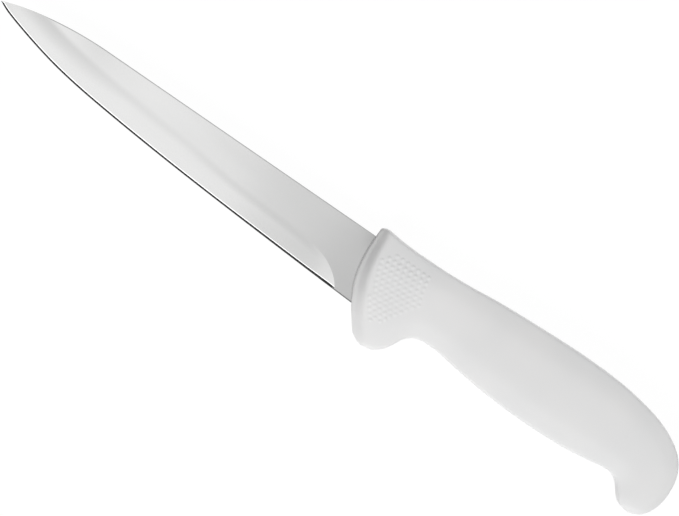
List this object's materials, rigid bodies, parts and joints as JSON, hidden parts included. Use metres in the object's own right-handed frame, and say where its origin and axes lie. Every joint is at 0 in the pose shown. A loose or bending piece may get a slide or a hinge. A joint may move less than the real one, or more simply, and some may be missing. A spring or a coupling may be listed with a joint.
{
  "type": "fillet knife",
  "caption": "Fillet knife with a long tapering stainless steel blade and a white moulded handle with a finger guard, textured thumb pads and a hooked butt.",
  "frame": {"origin": "centre of the bottom of the bounding box: the knife lies on its side on the plane Z = 0", "axes": "+X runs from the tip to the butt, +Y from the cutting edge to the spine, +Z is the upward side face"},
  "size_m": [0.3268, 0.0466, 0.0226],
  "materials": {
    "blade_steel": "satin ground stainless steel with a fine lengthwise grain",
    "core_plastic": "plain as moulded, hidden",
    "grip_plastic": "white with a fine matt moulding grain and raised dots on the thumb pads"
  },
  "bodies": {
    "root": {"blade": "blade_steel", "handle_core": "core_plastic", "handle_grip": "grip_plastic"}
  },
  "joints": []
}
